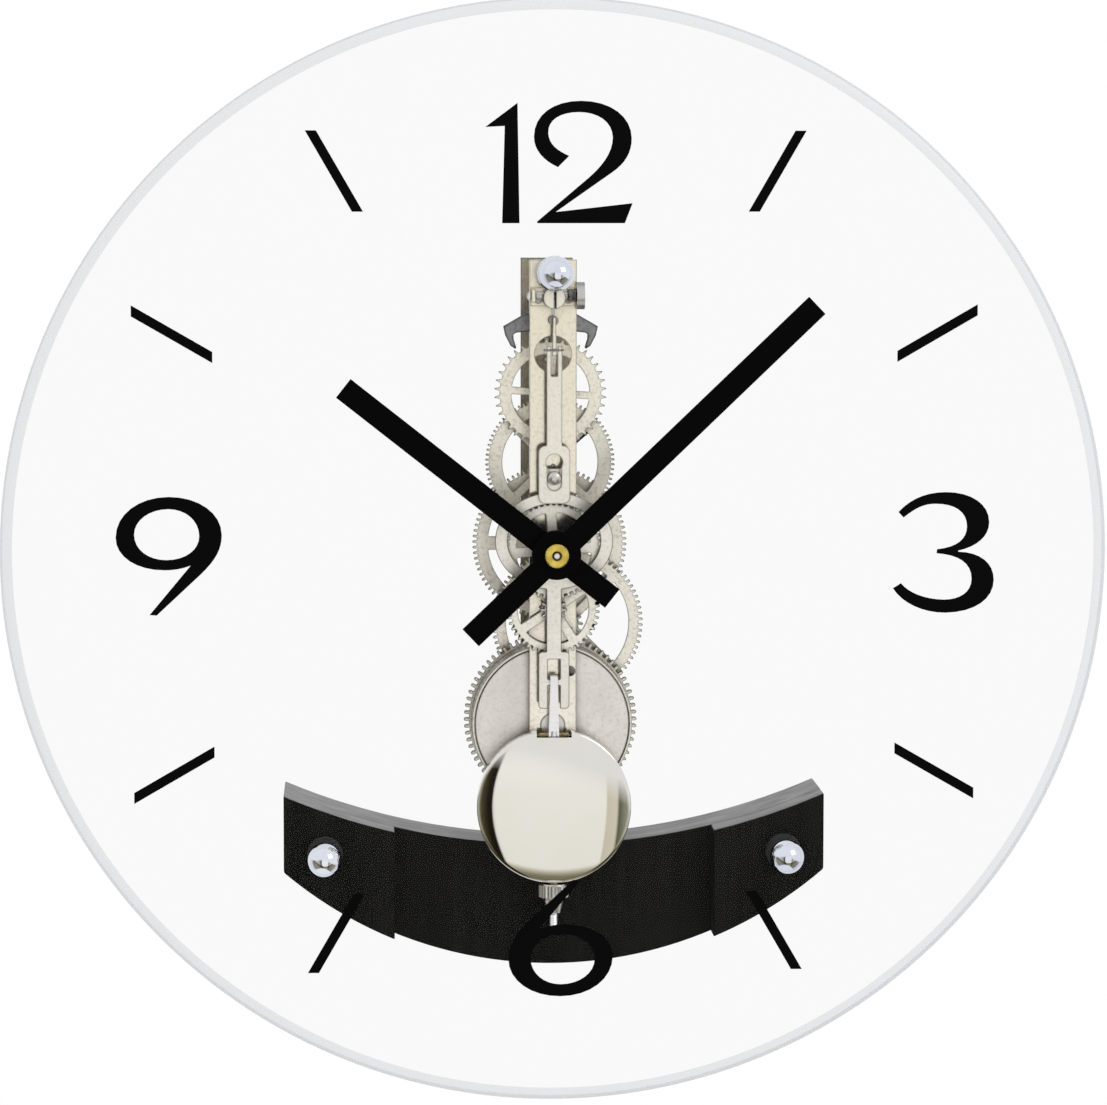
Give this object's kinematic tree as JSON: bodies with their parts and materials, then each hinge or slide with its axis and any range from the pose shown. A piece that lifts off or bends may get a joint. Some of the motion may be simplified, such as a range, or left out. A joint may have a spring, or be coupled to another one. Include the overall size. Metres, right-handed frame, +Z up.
{
  "type": "regulator wall clock",
  "caption": "Regulator wall clock: round clear glass dial with black numerals and hands over a narrow skeleton movement with pendulum, on a black arched bracket",
  "frame": {"origin": "centre of the hanging hole in the strap at the top of the back, in the wall's plane", "axes": "+X to the right as seen from the front, +Y into the wall, +Z up; the dial faces -Y"},
  "size_m": [0.32, 0.0714, 0.32],
  "materials": {
    "clear_glass": "polished float glass with a ground bevel",
    "black_print": "flat black screen print",
    "black_hands": "satin black",
    "polished_chrome": "mirror polished",
    "black_rubber": "matt",
    "black_lacquer": "satin black lacquer",
    "grey_lacquer": "satin black lacquer",
    "satin_nickel": "warm nickel, fine straight grain",
    "wheel_nickel": "warm nickel, fine straight grain",
    "lid_nickel": "satin nickel",
    "bright_steel": "turned and polished steel",
    "polished_nickel": "polished warm nickel",
    "brass": "polished brass",
    "grey_steel": "hardened grey steel",
    "spring_steel": "blued spring steel"
  },
  "bodies": {
    "case": {"glass_dial": "clear_glass", "hour_marks": "black_print", "numerals": "black_print", "ball_nuts": "polished_chrome", "ball_studs": "polished_chrome", "glass_washers": "black_rubber", "stud_sleeve": "polished_chrome", "arch_board": "black_lacquer", "left_end_block": "black_lacquer", "right_end_block": "black_lacquer", "spacer_block": "grey_lacquer", "block_screws": "bright_steel", "wall_pads": "black_rubber", "plate_screws": "bright_steel", "front_plate": "satin_nickel", "rear_plate": "satin_nickel", "pillars": "bright_steel", "pillar_screws": "bright_steel", "hanger_strap": "bright_steel", "hanger_screws": "bright_steel", "beat_bridge": "satin_nickel", "minute_wheel_post": "bright_steel", "click_screw": "bright_steel", "click_spring": "spring_steel"},
    "beat_slide": {"suspension_post": "satin_nickel", "suspension_spring": "spring_steel"},
    "beat_screw": {"beat_screw": "bright_steel"},
    "pendulum": {"anchor": "grey_steel", "anchor_arbor": "bright_steel", "crutch": "bright_steel", "fork_pin": "bright_steel", "pendulum_leader": "satin_nickel", "pendulum_loop": "satin_nickel", "loop_stud": "bright_steel", "pendulum_rod": "polished_nickel"},
    "bob": {"bob_front": "polished_nickel", "bob_back": "polished_nickel", "bob_guide": "brass"},
    "rating_nut": {"rating_nut": "polished_nickel"},
    "barrel": {"barrel_drum": "wheel_nickel", "barrel_lid": "lid_nickel", "mainspring": "spring_steel"},
    "winding": {"winding_arbor": "bright_steel", "ratchet_wheel": "bright_steel"},
    "click": {"click": "grey_steel"},
    "second": {"second_wheel": "wheel_nickel", "second_arbor": "bright_steel"},
    "centre": {"centre_wheel": "wheel_nickel", "centre_arbor": "bright_steel", "cannon_pinion": "bright_steel", "minute_hand": "black_hands", "hand_nut": "brass"},
    "minute_work": {"minute_wheel": "wheel_nickel"},
    "hour_work": {"hour_wheel": "wheel_nickel", "hour_hand": "black_hands"},
    "third": {"third_wheel": "wheel_nickel", "third_arbor": "bright_steel"},
    "escape": {"escape_wheel": "wheel_nickel", "escape_arbor": "bright_steel"}
  },
  "joints": [
    {"name": "hands_turn", "type": "hinge", "parent": "case", "child": "centre", "pos_m": [0, -0.028, -0.078], "axis": [0, 1, 0], "continuous": true},
    {"name": "second_turn", "type": "hinge", "parent": "case", "child": "second", "pos_m": [0.00521, -0.028, -0.10163], "axis": [0, 1, 0], "continuous": true},
    {"name": "barrel_turn", "type": "hinge", "parent": "case", "child": "barrel", "pos_m": [0, -0.028, -0.1302], "axis": [0, 1, 0], "continuous": true, "deforming": ["mainspring"]},
    {"name": "third_turn", "type": "hinge", "parent": "case", "child": "third", "pos_m": [0, -0.028, -0.05366], "axis": [0, 1, 0], "continuous": true},
    {"name": "escape_turn", "type": "hinge", "parent": "case", "child": "escape", "pos_m": [0, -0.028, -0.03298], "axis": [0, 1, 0], "continuous": true},
    {"name": "minute_wheel_turn", "type": "hinge", "parent": "case", "child": "minute_work", "pos_m": [0, -0.048, -0.09552], "axis": [0, 1, 0], "continuous": true},
    {"name": "hour_turn", "type": "hinge", "parent": "case", "child": "hour_work", "pos_m": [0, -0.049, -0.078], "axis": [0, 1, 0], "continuous": true},
    {"name": "winding_turn", "type": "hinge", "parent": "case", "child": "winding", "pos_m": [0, -0.028, -0.1302], "axis": [0, 1, 0], "continuous": true},
    {"name": "click_lift", "type": "hinge", "parent": "case", "child": "click", "pos_m": [-0.0059, -0.005, -0.1226], "axis": [0, 1, 0], "range_deg": [-10, 0], "stiffness_Nm_per_rad": 0.001, "springref_deg": 14.32, "deforming": ["click_spring"]},
    {"name": "pendulum_swing", "type": "hinge", "parent": "case", "child": "pendulum", "pos_m": [0, -0.05, -0.011], "axis": [0, 1, 0], "range_deg": [-3, 3], "deforming": ["suspension_spring"]},
    {"name": "bob_slide", "type": "slide", "parent": "pendulum", "child": "bob", "axis": [0, 0, 1], "range_m": [-0.002, 0.002]},
    {"name": "rating_nut_turn", "type": "hinge", "parent": "bob", "child": "rating_nut", "pos_m": [0, -0.0517, -0.178], "axis": [0, 0, 1], "range_deg": [-1440, 1440]},
    {"name": "beat_slide_move", "type": "slide", "parent": "case", "child": "beat_slide", "axis": [1, 0, 0], "range_m": [-0.0005, 0.0005]},
    {"name": "beat_screw_turn", "type": "hinge", "parent": "case", "child": "beat_screw", "pos_m": [0, -0.0499, -0.0037], "axis": [1, 0, 0], "range_deg": [-360, 360]}
  ],
  "couplings": [
    {"joint": "second_turn", "follows": "hands_turn", "ratio": -0.1},
    {"joint": "barrel_turn", "follows": "hands_turn", "ratio": 0.015789},
    {"joint": "third_turn", "follows": "hands_turn", "ratio": -12},
    {"joint": "escape_turn", "follows": "hands_turn", "ratio": 120},
    {"joint": "minute_wheel_turn", "follows": "hands_turn", "ratio": -0.33333},
    {"joint": "hour_turn", "follows": "hands_turn", "ratio": 0.083333},
    {"joint": "rating_nut_turn", "follows": "bob_slide", "rad_per_m": 12566},
    {"joint": "beat_screw_turn", "follows": "beat_slide_move", "rad_per_m": 12566}
  ]
}
